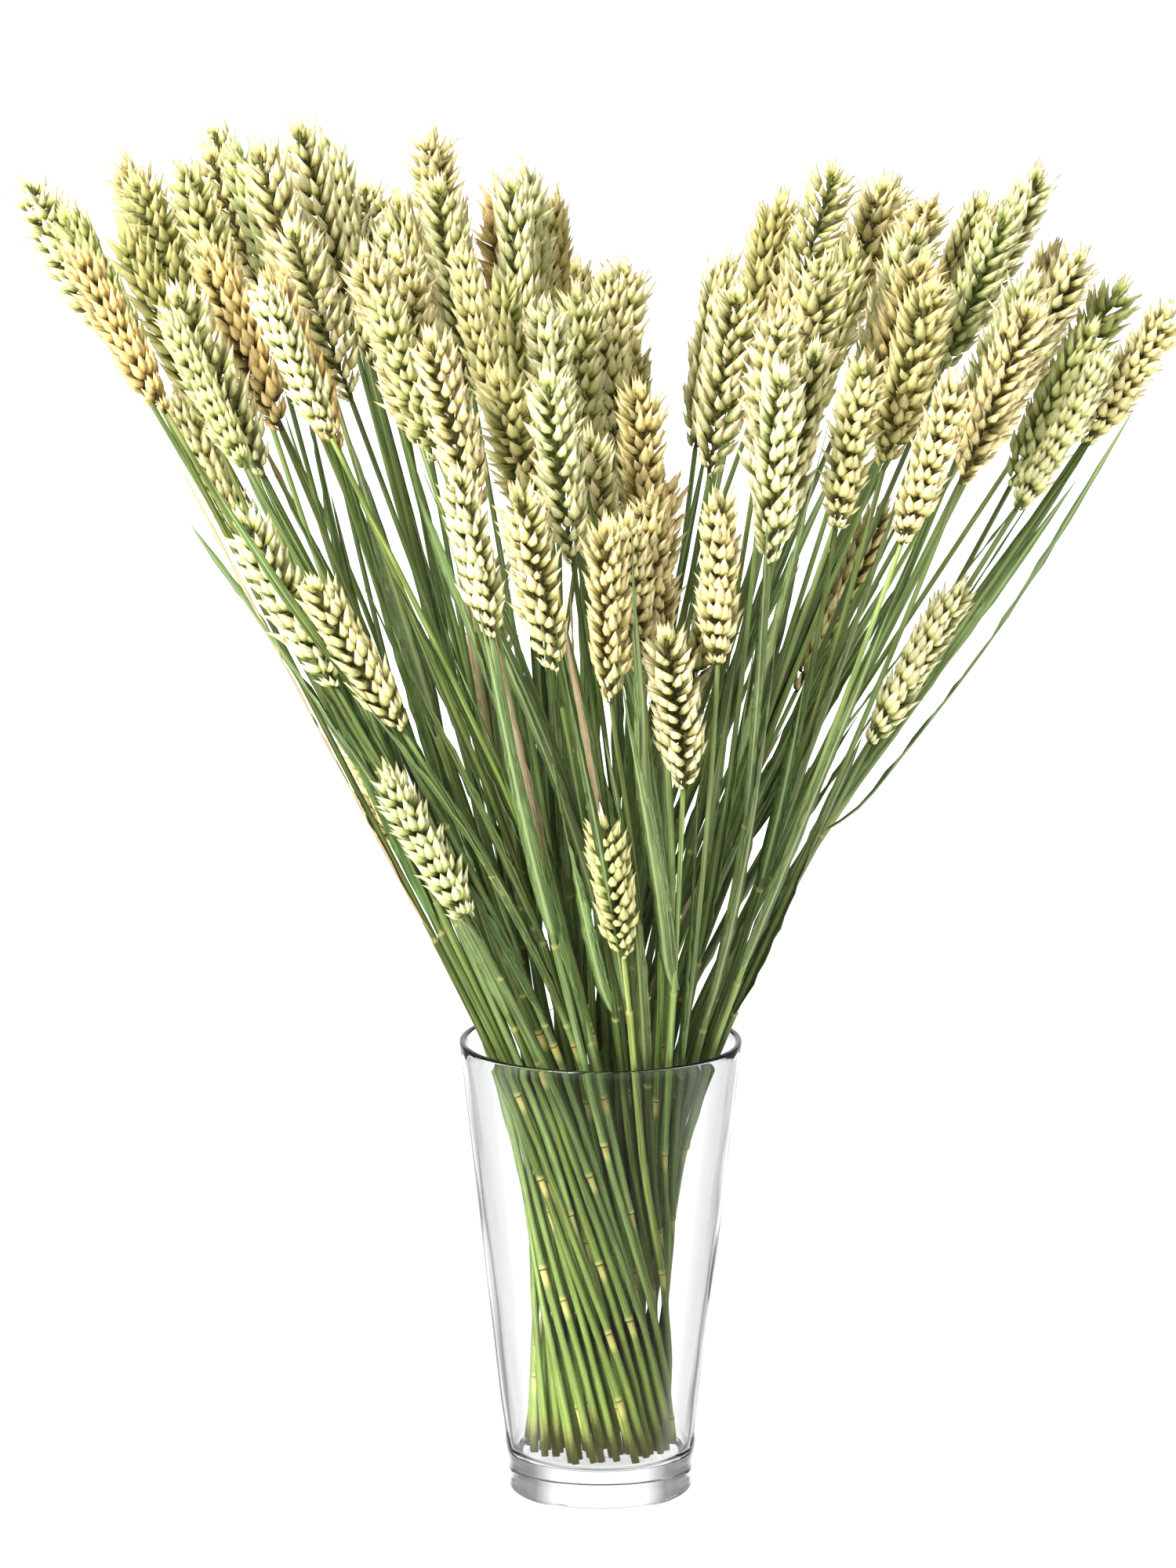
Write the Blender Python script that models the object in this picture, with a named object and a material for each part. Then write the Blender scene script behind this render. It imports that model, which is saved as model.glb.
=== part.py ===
"""A bunch of cut wheat, 108 leafy stalks with their ears, standing in a clear glass vase.

Metres, +Z up. The origin is the middle of the vase's flat underside. The bunch is a spiral
one: every stalk crosses the vase slantwise, passes the waist of the bunch and leans out over
the rim. The crown is wide to the left and right, less deep, and parted once near its middle.
"""

import math

import bmesh
import bpy
import numpy as np
from mathutils import Vector

MM = 0.001

# Vase: pressed clear glass, a plain cone on a thick foot
VASE_HEIGHT = 240 * MM
VASE_RIM_RADIUS = 73 * MM
VASE_FOOT_RADIUS = 48 * MM
VASE_FOOT_ROUNDING = 4 * MM
VASE_FOOT_HEIGHT = 15 * MM
VASE_CREASE = 0.6 * MM
VASE_WALL_START = 24 * MM
VASE_WALL_RADIUS = 49.5 * MM
VASE_FLOOR = 21 * MM
VASE_INSIDE_FOOT_RADIUS = 44.5 * MM
VASE_INSIDE_RIM_RADIUS = 69.8 * MM
VASE_INSIDE_ROUNDING = 4 * MM
VASE_LIP = 1.6 * MM
VASE_SIDES = 32

# Bunch: its waist is in the vase, and it opens above the rim
WAIST_RADIUS = 34 * MM
WAIST_HEIGHT = 111 * MM
FOOT_FLARE = 6.5 * MM
BEND_HEIGHT = 193 * MM
BEND_LENGTH = 32 * MM
LEAN = 0.53
TWIST_RATE = 0.0105 / MM
FLATTENED_FROM = 240 * MM
FLATTENED_TO = 700 * MM
FLATNESS = 0.72

# Crown: (x, height) in mm of the line that the furthest tips reach, seen from the front
CROWN_OUTLINE = [
    (-300, 690), (-230, 705), (-175, 727), (-95, 729), (-60, 692), (-35, 700), (0, 664),
    (27, 645), (44, 575), (62, 600), (83, 697), (103, 684), (140, 708), (195, 697),
    (228, 700), (262, 662), (290, 640),
]
CROWN_STALKS = 92
GOLDEN_ANGLE = math.pi * (3 - math.sqrt(5))
CROWN_DROP = 6 * MM
CROWN_DOME = 34 * MM
CROWN_FRONT_DROP = 40 * MM
CROWN_UNEVENNESS = 58 * MM
CROWN_EDGE_EVENNESS = 0.8
CROWN_RIGHT_REACH = 1.06
PARTING_PLACE = 0.17
PARTING_PUSH = 0.06
PARTING_WIDTH = 0.05

# Short stalks on the outside of the bunch, as (x, height of the ear's tip) in mm
SHORT_IN_FRONT = [
    (-179, 533), (-144, 506), (-106, 406), (-71, 569), (-41, 559),
    (-4, 388), (8, 546), (20, 487), (56, 558), (194, 489),
]
SHORT_BEHIND = [(-222, 566), (-132, 409), (-60, 470), (10, 520), (71, 460), (150, 500)]
SHORT_OUTWARD = 1.05

# Stalks: square in section here, each pair pressed together at the waist
STEM_RADIUS = 2.4 * MM
STEM_TOP_RADIUS = 1.7 * MM
STEM_HEIGHTS = (111 * MM, 205 * MM, 300 * MM)
STEM_BELOW_EAR = 30 * MM
STEM_STEPS_ABOVE = 2
STEM_CUT_LOW = 22.6 * MM
STEM_CUT_SPREAD = 11 * MM
PAIR_DISTANCE = 3.4 * MM
ROW_PITCH = 6.0 * MM
ROW_PAIRS = (2, 4, 5, 5, 5, 6, 6, 5, 5, 5, 4, 2)
PAIR_PITCH = 12.6 * MM

# Ears: a slim core covered with four columns of pointed spikelets, set in turn
EAR_LENGTH = 98 * MM
EAR_LENGTH_SPREAD = 13 * MM
EAR_RINGS = 5
EAR_CORE_RADIUS = 6.4 * MM
EAR_FLATNESS = 0.86
SPIKELET_RISE = 5.6 * MM
SPIKELET_REACH = 8 * MM

# Leaves: long narrow keeled blades that rise beside their stalks
LEAF_FIRST_PLACE = 0.45
LEAF_LOW = 250 * MM
LEAF_HIGH = 400 * MM
LEAF_LENGTH = 180 * MM
LEAF_LENGTH_SPREAD = 50 * MM
LEAF_HALF_WIDTH = 5 * MM
LEAF_KEEL = 1.3 * MM
LEAF_LEAN = 0.11
LEAF_FOOT_SHARE = 0.35
LEAF_TURN = 1.6
LEAF_STEPS = 4

# Room that neighbours leave each other
LEVEL_PITCH = 12 * MM
LEVELS = np.arange(61) * LEVEL_PITCH + 20 * MM
ROOM_STEM = 3.6 * MM
ROOM_EAR = 12.5 * MM
ROOM_LEAF = 7 * MM
ROOM_FROM = 120 * MM
ROOM_FULL = 200 * MM
ROOM_ROUNDS = 120
ROOM_PUSH = 0.4
EAR_FOOT_ROOM = 6 * MM
EAR_TIP_ROOM = 8 * MM

SEED = 11


def spread(z):
    """Half the bunch's width at height z: narrow in the vase, opening above the rim."""
    opening = LEAN * BEND_LENGTH * np.log1p(np.exp((z - BEND_HEIGHT) / BEND_LENGTH))
    flare = FOOT_FLARE * (np.maximum(WAIST_HEIGHT - z, 0) / WAIST_HEIGHT) ** 2
    return WAIST_RADIUS + opening + flare


def depth_share(z):
    """Depth of the bunch over its width: round in the vase and flatter towards the crown."""
    rise = np.clip((z - FLATTENED_FROM) / (FLATTENED_TO - FLATTENED_FROM), 0, 1)
    return 1 - (1 - FLATNESS) * rise


def twist(z):
    """How far a straight stalk of a spiral bunch still turns above height z."""
    at_top = np.arctan(TWIST_RATE * (FLATTENED_TO - WAIST_HEIGHT))
    return at_top - np.arctan(TWIST_RATE * (z - WAIST_HEIGHT))


def bunch_place(label, z):
    """Where a stalk with this place (u, v) in the bunch is at height z."""
    u, v = label[..., 0], label[..., 1]
    turn = twist(z)
    x = (u * np.cos(turn) - v * np.sin(turn)) * spread(z)
    y = (u * np.sin(turn) + v * np.cos(turn)) * spread(z) * depth_share(z)
    return np.stack([x, y], axis=-1)


def crown_tips(random):
    """(u, v, height) of the long stalks' tips: an even spiral over the disc, parted once."""
    count = np.arange(CROWN_STALKS)
    radius = np.sqrt((count + 0.5) / CROWN_STALKS)
    u = radius * np.cos(count * GOLDEN_ANGLE)
    v = radius * np.sin(count * GOLDEN_ANGLE)
    u = u + PARTING_PUSH * np.tanh((u - PARTING_PLACE) / PARTING_WIDTH)
    u = np.where(u > PARTING_PLACE, u * CROWN_RIGHT_REACH, u)
    outline = np.array(CROWN_OUTLINE) * MM
    reach = np.interp(u * spread(FLATTENED_TO), outline[:, 0], outline[:, 1])
    drop = CROWN_DROP + CROWN_DOME * v * v + CROWN_FRONT_DROP * np.maximum(-v, 0)
    uneven = CROWN_UNEVENNESS * (1 - CROWN_EDGE_EVENNESS * np.minimum(u * u, 1))
    height = reach - drop - uneven * random.random(CROWN_STALKS)
    return np.stack([u, v, height], axis=-1)


def short_tips():
    """(u, v, height) of the short stalks' tips, which lie round the outside of the bunch."""
    tips = []
    for side, places in ((-1, SHORT_IN_FRONT), (1, SHORT_BEHIND)):
        for x, height in places:
            turn = twist(height * MM)
            right = min(max(x * MM / spread(height * MM), -1), 1)
            back = side * math.sqrt(SHORT_OUTWARD**2 - right * right)
            u = right * math.cos(turn) + back * math.sin(turn)
            v = back * math.cos(turn) - right * math.sin(turn)
            tips.append((u, v, height * MM))
    return np.array(tips)


def waist_rows():
    """Places (u, v) at the waist, row by row from front to back, two stalks to a pair."""
    places = []
    rise = (len(ROW_PAIRS) - 1) / 2
    for row, pairs in enumerate(ROW_PAIRS):
        for pair in range(pairs):
            middle = (pair - (pairs - 1) / 2) * PAIR_PITCH
            for side in (-1, 1):
                x = middle + side * PAIR_DISTANCE / 2
                places.append((x / WAIST_RADIUS, (row - rise) * ROW_PITCH / WAIST_RADIUS))
    return np.array(places)


def in_rows(tips):
    """The tips in the order of waist_rows(): front to back, and left to right in each row."""
    ordered = tips[np.argsort(tips[:, 1], kind="stable")]
    rows, first = [], 0
    for pairs in ROW_PAIRS:
        row = ordered[first : first + 2 * pairs]
        rows.append(row[np.argsort(row[:, 0], kind="stable")])
        first += 2 * pairs
    return np.concatenate(rows)


def smooth_step(low, high, value):
    share = np.clip((value - low) / (high - low), 0, 1)
    return share * share * (3 - 2 * share)


def stalk_lines(tips, waist):
    """x and y of every stalk at each of LEVELS, before neighbours make room."""
    lines = []
    for tip, start in zip(tips, waist):
        share = smooth_step(WAIST_HEIGHT, tip[2], LEVELS)[:, None]
        label = (1 - share) * start + share * tip[:2]
        lines.append(bunch_place(label, LEVELS))
    return np.array(lines)


def make_room(lines, room, own_stalk):
    """Pushes apart, level by level, lines that come closer than the room they need."""
    start = lines.copy()
    ramp = smooth_step(ROOM_FROM, ROOM_FULL, LEVELS)[None, :, None]
    there = room > 0
    both = there[:, None] & there[None]
    for leaf, stalk in own_stalk:
        both[leaf, stalk] = both[stalk, leaf] = False
    both[np.arange(len(lines)), np.arange(len(lines))] = False
    need = room[:, None] + room[None]
    for _ in range(ROOM_ROUNDS):
        apart = lines[:, None] - lines[None]
        distance = np.maximum(np.linalg.norm(apart, axis=-1), 1e-6)
        short = np.where(both, np.maximum(need - distance, 0), 0)
        push = (apart / distance[..., None] * short[..., None]).sum(axis=1) * ROOM_PUSH
        moved = lines - start + push
        padded = np.pad(moved, ((0, 0), (1, 1), (0, 0)), mode="edge")
        moved = (padded[:, :-2] + 2 * moved + padded[:, 2:]) / 4
        lines = start + moved * ramp
    return lines


def at_height(line, z):
    """The point of a line at height z."""
    x = np.interp(z, LEVELS, line[:, 0])
    y = np.interp(z, LEVELS, line[:, 1])
    return Vector((x, y, z))


def height_below(line, top, length):
    """The height that lies this far down the line from height top."""
    z, left = top, length
    step = 2 * MM
    while left > 0:
        left -= (at_height(line, z) - at_height(line, z - step)).length
        z -= step
    return z


def plan_leaves(random, tips, ear_feet):
    """(owner, low end, height, direction) of the leaves, on every second stalk outside."""
    leaves = []
    outer = np.hypot(tips[:, 0], tips[:, 1]) > LEAF_FIRST_PLACE
    for owner in np.flatnonzero(outer)[::2]:
        low = LEAF_LOW + (LEAF_HIGH - LEAF_LOW) * random.random()
        low = min(low, ear_feet[owner] - STEM_BELOW_EAR)
        length = LEAF_LENGTH + LEAF_LENGTH_SPREAD * (2 * random.random() - 1)
        outward = math.atan2(tips[owner, 1], tips[owner, 0]) + LEAF_TURN * (random.random() - 0.5)
        leaves.append((owner, low, length, outward))
    return leaves


def plan_bunch():
    """Every stalk and leaf as a line with its heights, after all have made room."""
    random = np.random.RandomState(SEED)
    tips = in_rows(np.concatenate([crown_tips(random), short_tips()]))
    lines = stalk_lines(tips, waist_rows())
    ear_lengths = EAR_LENGTH + EAR_LENGTH_SPREAD * (2 * random.random(len(tips)) - 1)
    cuts = STEM_CUT_LOW + STEM_CUT_SPREAD * random.random(len(tips)) ** 3
    rolls = random.random(len(tips)) * math.pi / 2
    ear_feet = [height_below(line, tip[2], size) for line, tip, size in zip(lines, tips, ear_lengths)]
    leaves = plan_leaves(random, tips, ear_feet)

    leaf_lines = []
    for owner, low, length, outward in leaves:
        away = np.maximum(LEVELS - low, 0)[:, None] * LEAF_LEAN + STEM_RADIUS
        direction = np.array([math.cos(outward), math.sin(outward)])
        leaf_lines.append(lines[owner] + away * direction)

    room = np.zeros((len(tips) + len(leaves), len(LEVELS)))
    for k, (tip, foot) in enumerate(zip(tips, ear_feet)):
        room[k] = np.where(LEVELS < foot - EAR_FOOT_ROOM, ROOM_STEM, ROOM_EAR)
        room[k, LEVELS > tip[2] + EAR_TIP_ROOM] = 0
    for k, (owner, low, length, outward) in enumerate(leaves):
        beside = (LEVELS > low) & (LEVELS < low + length)
        room[len(tips) + k, beside] = ROOM_LEAF
    own_stalk = [(len(tips) + k, leaf[0]) for k, leaf in enumerate(leaves)]
    lines = make_room(np.concatenate([lines, leaf_lines]), room, own_stalk)

    stalks = [
        {"line": lines[k], "cut": cuts[k], "foot": ear_feet[k], "tip": tips[k, 2], "roll": rolls[k]}
        for k in range(len(tips))
    ]
    for k, (owner, low, length, outward) in enumerate(leaves):
        stalks[owner].setdefault("leaves", []).append(
            {"line": lines[len(tips) + k], "low": low, "high": low + length, "outward": outward}
        )
    return stalks


def ring(bm, centre, along, half_wide, half_deep, turn):
    """Four vertices round a point of a line, square to the line."""
    across = (Vector((1, 0, 0)) - along * along.x).normalized()
    behind = along.cross(across)
    verts = []
    for k in range(4):
        angle = turn + math.pi / 2 * k
        offset = across * math.cos(angle) * half_wide + behind * math.sin(angle) * half_deep
        verts.append(bm.verts.new(centre + offset))
    return verts


def bridge(bm, lower, upper):
    for k in range(len(lower)):
        after = (k + 1) % len(lower)
        bm.faces.new((lower[k], lower[after], upper[after], upper[k]))


def direction_at(line, z):
    return (at_height(line, z + LEVEL_PITCH / 2) - at_height(line, z - LEVEL_PITCH / 2)).normalized()


def ear_size(share):
    """Core radius along the ear: a narrow foot, an even middle and a blunt tip."""
    return EAR_CORE_RADIUS * min(1, 0.7 + 1.5 * share, 0.55 + 1.6 * (1 - share))


def new_object(name, bm):
    mesh = bpy.data.meshes.new(name)
    bm.to_mesh(mesh)
    bm.free()
    made = bpy.data.objects.new(name, mesh)
    bpy.context.scene.collection.objects.link(made)
    return made


def make_stalk(name, stalk):
    """One stalk from its cut end to its tip: a square stem and an ear of pointed spikelets."""
    bm = bmesh.new()
    line, foot, tip, roll = stalk["line"], stalk["foot"], stalk["tip"], stalk["roll"]
    low = [z for z in STEM_HEIGHTS if z < foot - STEM_BELOW_EAR]
    rest = [low[-1] + (foot - low[-1]) * k / STEM_STEPS_ABOVE for k in range(1, STEM_STEPS_ABOVE + 1)]
    rings = []
    for z in [stalk["cut"], *low, *rest]:
        share = (z - stalk["cut"]) / (foot - stalk["cut"])
        radius = STEM_RADIUS + (STEM_TOP_RADIUS - STEM_RADIUS) * share
        rings.append(ring(bm, at_height(line, z), direction_at(line, z), radius, radius, roll))
    bm.faces.new(rings[0][::-1])
    for lower, upper in zip(rings, rings[1:]):
        bridge(bm, lower, upper)

    ear = [rings[-1]]
    for step in range(1, EAR_RINGS + 1):
        share = step / (EAR_RINGS + 1)
        z = foot + (tip - foot) * share
        radius = ear_size(share)
        turn = roll + step * math.pi / 4
        ear.append(ring(bm, at_height(line, z), direction_at(line, z), radius, radius * EAR_FLATNESS, turn))
    ear.append([bm.verts.new(at_height(line, tip))] * 4)
    for k in range(4):
        bm.faces.new((ear[0][k], ear[0][(k + 1) % 4], ear[1][k]))
    spikelets = []
    for below, at, above in zip(ear, ear[1:], ear[2:]):
        for k in range(4):
            after = (k + 1) % 4
            spikelets.append(bm.faces.new((below[after], at[after], above[k], at[k])))
    bm.normal_update()
    points = bmesh.ops.poke(bm, faces=spikelets, offset=SPIKELET_RISE, center_mode="MEAN")["verts"]
    along = direction_at(line, (foot + tip) / 2)
    bmesh.ops.translate(bm, verts=points, vec=along * SPIKELET_REACH)
    return new_object(name, bm)


def make_leaf(name, stalk, leaf):
    """One blade with a keel under its middle, from inside its stem to a point."""
    bm = bmesh.new()
    low, high, line = leaf["low"], leaf["high"], leaf["line"]
    outward = Vector((math.cos(leaf["outward"]), math.sin(leaf["outward"]), 0))
    sections = []
    for step in range(LEAF_STEPS):
        share = step / LEAF_STEPS
        z = low + (high - low) * share
        centre = at_height(line, z) if step else at_height(stalk["line"], z)
        along = (at_height(line, z + 20 * MM) - centre).normalized()
        side = along.cross(outward).normalized()
        keel = side.cross(along) * LEAF_KEEL
        fullness = math.sin(math.pi * (0.3 + 0.6 * share)) ** 0.5 if step else LEAF_FOOT_SHARE
        wide = LEAF_HALF_WIDTH * fullness
        corners = (side * wide, keel, -side * wide)
        sections.append([bm.verts.new(centre + corner) for corner in corners])
    tip = bm.verts.new(at_height(line, high))
    bm.faces.new(sections[0])
    for lower, upper in zip(sections, sections[1:]):
        bridge(bm, upper, lower)
    for k in range(3):
        bm.faces.new((sections[-1][(k + 1) % 3], sections[-1][k], tip))
    bmesh.ops.recalc_face_normals(bm, faces=bm.faces)
    return new_object(name, bm)


def fuse(name, first, others):
    """Joins the others to the first object with one Boolean union and removes them."""
    helpers = bpy.data.collections.new(name + "_joined")
    bpy.context.scene.collection.children.link(helpers)
    for other in others:
        bpy.context.scene.collection.objects.unlink(other)
        helpers.objects.link(other)
    union = first.modifiers.new("union", "BOOLEAN")
    union.operation = "UNION"
    union.operand_type = "COLLECTION"
    union.collection = helpers
    union.solver = "MANIFOLD"
    bpy.context.view_layer.update()
    evaluated = first.evaluated_get(bpy.context.evaluated_depsgraph_get())
    joined = bpy.data.meshes.new_from_object(evaluated)
    first.modifiers.clear()
    first.data = joined
    for other in others:
        bpy.data.objects.remove(other)
    bpy.data.collections.remove(helpers)


def material(name, colour, roughness, alpha=1.0, transmission=0.0):
    made = bpy.data.materials.new(name)
    made.use_nodes = True
    shader = made.node_tree.nodes["Principled BSDF"]
    shader.inputs["Base Color"].default_value = (*colour, 1)
    shader.inputs["Roughness"].default_value = roughness
    shader.inputs["Metallic"].default_value = 0
    shader.inputs["Alpha"].default_value = alpha
    shader.inputs["Transmission Weight"].default_value = transmission
    return made


def vase_profile():
    """Half section from the flat underside up the outside, over the lip and down the inside."""
    points = []
    for k in range(4):
        angle = math.pi / 2 * k / 3
        points.append((
            VASE_FOOT_RADIUS - VASE_FOOT_ROUNDING * (1 - math.sin(angle)),
            VASE_FOOT_ROUNDING * (1 - math.cos(angle)),
        ))
    points.append((VASE_FOOT_RADIUS - VASE_CREASE, VASE_FOOT_HEIGHT))
    points.append((VASE_WALL_RADIUS, VASE_WALL_START))
    points.append((VASE_RIM_RADIUS, VASE_HEIGHT - VASE_LIP))
    points.append(((VASE_RIM_RADIUS + VASE_INSIDE_RIM_RADIUS) / 2, VASE_HEIGHT))
    points.append((VASE_INSIDE_RIM_RADIUS, VASE_HEIGHT - VASE_LIP))
    for inward, upward in ((0, 1), (1 / 3, 1 / 3), (1, 0)):
        points.append((
            VASE_INSIDE_FOOT_RADIUS - VASE_INSIDE_ROUNDING * inward,
            VASE_FLOOR + VASE_INSIDE_ROUNDING * upward,
        ))
    return points


def make_vase():
    bm = bmesh.new()
    verts = [bm.verts.new((radius, 0, z)) for radius, z in vase_profile()]
    edges = [bm.edges.new(pair) for pair in zip(verts, verts[1:])]
    bmesh.ops.spin(
        bm, geom=verts + edges, axis=(0, 0, 1), cent=(0, 0, 0),
        steps=VASE_SIDES, angle=2 * math.pi, use_merge=True,
    )
    bmesh.ops.holes_fill(bm, edges=bm.edges, sides=0)
    bmesh.ops.recalc_face_normals(bm, faces=bm.faces)
    vase = new_object("glass_vase", bm)
    vase.data.shade_smooth()
    vase.data.set_sharp_from_angle(angle=math.radians(40))
    vase.data.materials.append(material("clear glass", (0.95, 0.97, 0.96), 0.02, 0.35, 0.9))


def main():
    for old in list(bpy.data.objects):
        bpy.data.objects.remove(old)
    make_vase()
    straw = material("green-straw wheat", (0.50, 0.50, 0.24), 0.65)
    stalks = plan_bunch()
    for pair in range(len(stalks) // 2):
        name = f"wheat_stalks_{pair + 1:02d}"
        members = []
        for stalk in stalks[2 * pair : 2 * pair + 2]:
            members.append(make_stalk(name if not members else name + "_part", stalk))
            for leaf in stalk.get("leaves", []):
                members.append(make_leaf(name + "_leaf", stalk, leaf))
        fuse(name, members[0], members[1:])
        members[0].data.materials.clear()
        members[0].data.materials.append(straw)


main()
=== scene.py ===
import math

import bmesh
import bpy
import numpy as np
from mathutils import Matrix, Vector


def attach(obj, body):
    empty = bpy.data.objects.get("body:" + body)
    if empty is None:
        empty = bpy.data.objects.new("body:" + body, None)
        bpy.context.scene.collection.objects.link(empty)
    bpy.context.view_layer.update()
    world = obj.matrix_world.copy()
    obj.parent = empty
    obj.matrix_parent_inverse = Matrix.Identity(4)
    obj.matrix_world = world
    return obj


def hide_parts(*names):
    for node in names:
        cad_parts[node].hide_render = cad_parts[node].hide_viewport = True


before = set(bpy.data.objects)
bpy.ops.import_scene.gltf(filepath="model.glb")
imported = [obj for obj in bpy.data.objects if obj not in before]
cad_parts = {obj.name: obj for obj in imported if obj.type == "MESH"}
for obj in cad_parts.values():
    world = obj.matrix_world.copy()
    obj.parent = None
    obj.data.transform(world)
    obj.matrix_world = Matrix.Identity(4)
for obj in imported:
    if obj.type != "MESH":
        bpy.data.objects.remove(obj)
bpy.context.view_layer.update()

MM = 0.001


# Glass vase. A plain cone of clear soda-lime glass, pressed in a mould and fire-polished, on
# a thick solid foot that a shallow crease sets off from the wall. It stands on its flat foot.
VASE_OUTSIDE = [(0, 0), (48, 0), (47.4, 15), (49.5, 24), (73, 240)]
VASE_INSIDE = [(69.8, 240), (44.5, 21), (0, 21)]
VASE_ROUNDINGS = {1: 4, 2: 2.5, 3: 4, 4: 1.4, 5: 1.4, 6: 5}
VASE_ROUNDING_STEPS = 5
VASE_SPIN_STEPS = 128
VASE_WALL_LENGTH = 100 * MM
VASE_WALL_CUTS = 40
GLASS_TINT = "fcfdfd"
GLASS_IOR = 1.5


def from_hex(text, alpha=1.0):
    """An sRGB hex colour as linear RGBA."""
    parts = [int(text[k : k + 2], 16) / 255 for k in (0, 2, 4)]
    linear = [c / 12.92 if c <= 0.04045 else ((c + 0.055) / 1.055) ** 2.4 for c in parts]
    return (*linear, alpha)


def add_node(tree, kind, inputs=None, **settings):
    """One shader node with its settings; an input is a value, or a socket to link from."""
    node = tree.nodes.new("ShaderNode" + kind)
    for name, value in settings.items():
        setattr(node, name, value)
    for name, value in (inputs or {}).items():
        if isinstance(value, bpy.types.NodeSocket):
            tree.links.new(value, node.inputs[name])
        else:
            node.inputs[name].default_value = value
    return node


def new_material(name):
    """An empty material with its tree and its Principled shader."""
    made = bpy.data.materials.new(name)
    made.use_nodes = True
    return made, made.node_tree, made.node_tree.nodes["Principled BSDF"]


def new_piece(name, bm, finish, nodes):
    """Turns a bmesh into a smooth-shaded piece that rides on the part and replaces nodes."""
    mesh = bpy.data.meshes.new(name)
    bm.to_mesh(mesh)
    bm.free()
    mesh.shade_smooth()
    mesh.materials.clear()
    mesh.materials.append(finish)
    piece = bpy.data.objects.new(name, mesh)
    bpy.context.scene.collection.objects.link(piece)
    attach(piece, "root")
    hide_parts(*nodes)
    return piece


bm = bmesh.new()
profile = [bm.verts.new((radius * MM, 0, z * MM)) for radius, z in VASE_OUTSIDE + VASE_INSIDE]
for lower, upper in zip(profile, profile[1:]):
    bm.edges.new((lower, upper))
for corner, rounding in VASE_ROUNDINGS.items():
    bmesh.ops.bevel(
        bm, geom=[profile[corner]], offset=rounding * MM, affect="VERTICES",
        segments=VASE_ROUNDING_STEPS, profile=0.5, material=-1,
    )
walls = [edge for edge in bm.edges if edge.calc_length() > VASE_WALL_LENGTH]
bmesh.ops.subdivide_edges(bm, edges=walls, cuts=VASE_WALL_CUTS)
bmesh.ops.spin(
    bm, geom=bm.verts[:] + bm.edges[:], axis=(0, 0, 1), cent=(0, 0, 0),
    steps=VASE_SPIN_STEPS, angle=2 * math.pi, use_merge=True,
)
bmesh.ops.remove_doubles(bm, verts=bm.verts, dist=0.001 * MM)
bmesh.ops.recalc_face_normals(bm, faces=bm.faces)

# Clear soda-lime glass, fire-polished: colourless and sharp, with grey and bright lines only
# where its edge or its foot is seen through a long way of glass, and those a little wavy, as a
# mould leaves them
glass, tree, shader = new_material("clear pressed soda-lime glass")
shader.inputs["Base Color"].default_value = from_hex(GLASS_TINT)
shader.inputs["Transmission Weight"].default_value = 1
shader.inputs["IOR"].default_value = GLASS_IOR
shader.inputs["Roughness"].default_value = 0
place = add_node(tree, "TexCoord")
stretch = add_node(tree, "Mapping", {"Vector": place.outputs["Object"], "Scale": (45, 45, 12)})
waves = add_node(tree, "TexNoise", {"Vector": stretch.outputs[0], "Scale": 1, "Detail": 1})
bump = add_node(tree, "Bump", {"Height": waves.outputs[0], "Strength": 1, "Distance": 0.6 * MM})
tree.links.new(bump.outputs[0], shader.inputs["Normal"])
vase = new_piece("vase_of_clear_glass", bm, glass, ["glass_vase"])
vase.visible_shadow = False


# Stems. Each is a hollow green straw with two or three swollen nodes and a leaf sheath wrapped
# round it above each node, cut off square at the bottom. The bunch is a spiral one: its stalks
# cross in the vase at the waist, and lean out over the rim.
WAIST_RADIUS = 34 * MM
WAIST_HEIGHT = 111 * MM
FOOT_FLARE = 6.5 * MM
BEND_HEIGHT = 193 * MM
BEND_LENGTH = 32 * MM
LEAN = 0.53
TWIST_RATE = 0.0105 / MM
FLATTENED_FROM = 240 * MM
FLATTENED_TO = 700 * MM
FLATNESS = 0.72
CROWN_OUTLINE = [
    (-300, 690), (-230, 705), (-175, 727), (-95, 729), (-60, 692), (-35, 700), (0, 664),
    (27, 645), (44, 575), (62, 600), (83, 697), (103, 684), (140, 708), (195, 697),
    (228, 700), (262, 662), (290, 640),
]
CROWN_STALKS = 92
GOLDEN_ANGLE = math.pi * (3 - math.sqrt(5))
CROWN_DROP = 6 * MM
CROWN_DOME = 34 * MM
CROWN_FRONT_DROP = 40 * MM
CROWN_UNEVENNESS = 58 * MM
CROWN_EDGE_EVENNESS = 0.8
CROWN_RIGHT_REACH = 1.06
PARTING_PLACE = 0.17
PARTING_PUSH = 0.06
PARTING_WIDTH = 0.05
SHORT_IN_FRONT = [
    (-179, 533), (-144, 506), (-106, 406), (-71, 569), (-41, 559),
    (-4, 388), (8, 546), (20, 487), (56, 558), (194, 489),
]
SHORT_BEHIND = [(-222, 566), (-132, 409), (-60, 470), (10, 520), (71, 460), (150, 500)]
SHORT_OUTWARD = 1.05
STEM_CUT_LOW = 22.6 * MM
STEM_CUT_SPREAD = 11 * MM
PAIR_DISTANCE = 3.4 * MM
ROW_PITCH = 6.0 * MM
ROW_PAIRS = (2, 4, 5, 5, 5, 6, 6, 5, 5, 5, 4, 2)
PAIR_PITCH = 12.6 * MM
EAR_LENGTH = 98 * MM
EAR_LENGTH_SPREAD = 13 * MM
LEAF_FIRST_PLACE = 0.45
LEAF_LOW = 250 * MM
LEAF_HIGH = 400 * MM
LEAF_LENGTH = 180 * MM
LEAF_LENGTH_SPREAD = 50 * MM
LEAF_LEAN = 0.11
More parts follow.
